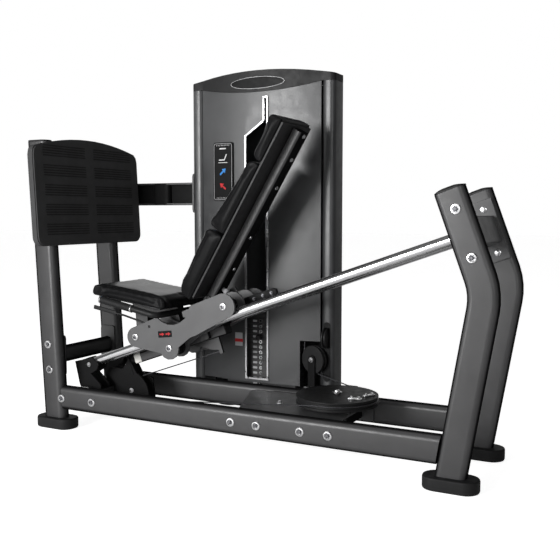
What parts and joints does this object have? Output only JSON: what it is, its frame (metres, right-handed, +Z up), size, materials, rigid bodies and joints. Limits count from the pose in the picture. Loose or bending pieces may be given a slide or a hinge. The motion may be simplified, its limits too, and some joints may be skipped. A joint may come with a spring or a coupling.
{
  "type": "leg press machine",
  "caption": "Selectorized leg press with a seat carriage that rolls on two inclined rods, a fixed foot plate and a shrouded weight tower.",
  "frame": {"origin": "on the floor, under the centre of the bounding box", "axes": "+X from the foot plate to the rear posts, +Y towards the weight tower, +Z up"},
  "size_m": [1.95, 0.873, 1.488],
  "materials": {
    "frame_paint": "satin powder coat",
    "carriage_paint": "satin powder coat",
    "chrome": "polished",
    "foot_rubber": "moulded",
    "tread_plastic": "fine ribs",
    "black_plastic": "moulded",
    "upholstery": "fine grain",
    "backing": "moulded",
    "bumper": "smooth",
    "stack_steel": "satin",
    "cable": "coated wire"
  },
  "bodies": {
    "frame": {"near_base_rail": "frame_paint", "far_base_rail": "frame_paint", "near_front_foot": "foot_rubber", "far_front_foot": "foot_rubber", "near_rear_foot": "foot_rubber", "far_rear_foot": "foot_rubber", "near_front_upright": "frame_paint", "far_front_upright": "frame_paint", "near_rear_post": "frame_paint", "far_rear_post": "frame_paint", "front_cross_member": "frame_paint", "middle_cross_member": "frame_paint", "rear_cross_member": "frame_paint", "disc_mount_plate": "frame_paint", "front_crossbar": "frame_paint", "rear_cross_box": "frame_paint", "near_guide_rod": "chrome", "far_guide_rod": "chrome", "rod_lower_bracket": "frame_paint", "foot_plate": "tread_plastic", "front_pulley_guard": "black_plastic", "carriage_cable": "cable", "base_cable": "cable", "stack_cable": "cable", "tower_top_beam": "frame_paint", "tower_base": "frame_paint", "tower_left_column": "frame_paint", "tower_right_column": "frame_paint", "tower_front_cover": "frame_paint", "tower_rear_cover": "frame_paint", "slot_trim": "chrome", "tower_cap": "black_plastic", "instruction_panel": "black_plastic", "brace_arm": "frame_paint", "resting_plates": "stack_steel"},
    "carriage": {"near_side_plate": "carriage_paint", "far_side_plate": "carriage_paint", "carriage_tube": "frame_paint", "bumper": "bumper", "seat_frame": "frame_paint", "seat_pad": "upholstery", "near_handle": "foot_rubber", "far_handle": "foot_rubber"},
    "backrest": {"back_frame": "frame_paint", "back_board": "backing", "head_pad": "upholstery", "back_pad": "upholstery", "lumbar_pad": "upholstery"},
    "lever": {"adjust_lever": "foot_rubber"},
    "rollers_front": {"front_rollers": "black_plastic"},
    "rollers_lower": {"lower_rollers": "black_plastic"},
    "rollers_rear": {"rear_rollers": "black_plastic"},
    "pulley_front": {"front_pulley": "black_plastic"},
    "disc": {"base_disc": "black_plastic"},
    "pulley_low": {"low_pulley": "black_plastic"},
    "pulley_top_left": {"top_pulley_left": "black_plastic"},
    "pulley_top_right": {"top_pulley_right": "black_plastic"},
    "stack": {"head_plate": "stack_steel", "lifted_plates": "stack_steel"},
    "selector": {"selector_pin": "foot_rubber"}
  },
  "joints": [
    {"name": "carriage_slide", "type": "slide", "parent": "frame", "child": "carriage", "axis": [0.9423, 0, 0.3348], "range_m": [0, 0.55], "deforming": ["carriage_cable"]},
    {"name": "backrest_recline", "type": "hinge", "parent": "carriage", "child": "backrest", "pos_m": [-0.20283, -0.103, 0.55602], "axis": [0, 1, 0], "range_deg": [-8, 12]},
    {"name": "recline_lever", "type": "hinge", "parent": "carriage", "child": "lever", "pos_m": [-0.42607, -0.217, 0.446], "axis": [0, 1, 0], "range_deg": [-12, 5]},
    {"name": "front_roller_spin", "type": "hinge", "parent": "carriage", "child": "rollers_front", "pos_m": [-0.4966, -0.103, 0.39813], "axis": [0, 1, 0], "continuous": true},
    {"name": "lower_roller_spin", "type": "hinge", "parent": "carriage", "child": "rollers_lower", "pos_m": [-0.33084, -0.103, 0.36469], "axis": [0, 1, 0], "continuous": true},
    {"name": "rear_roller_spin", "type": "hinge", "parent": "carriage", "child": "rollers_rear", "pos_m": [-0.07883, -0.103, 0.5455], "axis": [0, 1, 0], "continuous": true},
    {"name": "front_pulley_spin", "type": "hinge", "parent": "frame", "child": "pulley_front", "pos_m": [-0.60107, -0.103, 0.146], "axis": [0, 1, 0], "continuous": true},
    {"name": "base_disc_spin", "type": "hinge", "parent": "frame", "child": "disc", "pos_m": [0.34193, -0.103, 0.209], "axis": [0, 0, 1], "continuous": true},
    {"name": "low_pulley_spin", "type": "hinge", "parent": "frame", "child": "pulley_low", "pos_m": [0.14393, 0.1205, 0.303], "axis": [0.3034, 0.9529, 0], "continuous": true},
    {"name": "top_left_pulley_spin", "type": "hinge", "parent": "frame", "child": "pulley_top_left", "pos_m": [-0.06657, 0.1825, 1.32], "axis": [0, 1, 0], "continuous": true},
    {"name": "top_right_pulley_spin", "type": "hinge", "parent": "frame", "child": "pulley_top_right", "pos_m": [0.04372, 0.1825, 1.32], "axis": [0, 1, 0], "continuous": true},
    {"name": "stack_lift", "type": "slide", "parent": "frame", "child": "stack", "axis": [0, 0, 1], "range_m": [0, 0.55], "deforming": ["stack_cable"]},
    {"name": "selector_pull", "type": "slide", "parent": "stack", "child": "selector", "axis": [0, -1, 0], "range_m": [0, 0.05]}
  ],
  "couplings": [
    {"joint": "front_roller_spin", "follows": "carriage_slide", "rad_per_m": 52.356},
    {"joint": "lower_roller_spin", "follows": "carriage_slide", "rad_per_m": -38.314},
    {"joint": "rear_roller_spin", "follows": "carriage_slide", "rad_per_m": 55.249},
    {"joint": "front_pulley_spin", "follows": "carriage_slide", "rad_per_m": 22.472},
    {"joint": "base_disc_spin", "follows": "carriage_slide", "rad_per_m": -6.5574},
    {"joint": "low_pulley_spin", "follows": "carriage_slide", "rad_per_m": -18.349},
    {"joint": "top_left_pulley_spin", "follows": "carriage_slide", "rad_per_m": 21.053},
    {"joint": "top_right_pulley_spin", "follows": "carriage_slide", "rad_per_m": 21.053},
    {"joint": "stack_lift", "follows": "carriage_slide", "ratio": 1}
  ]
}
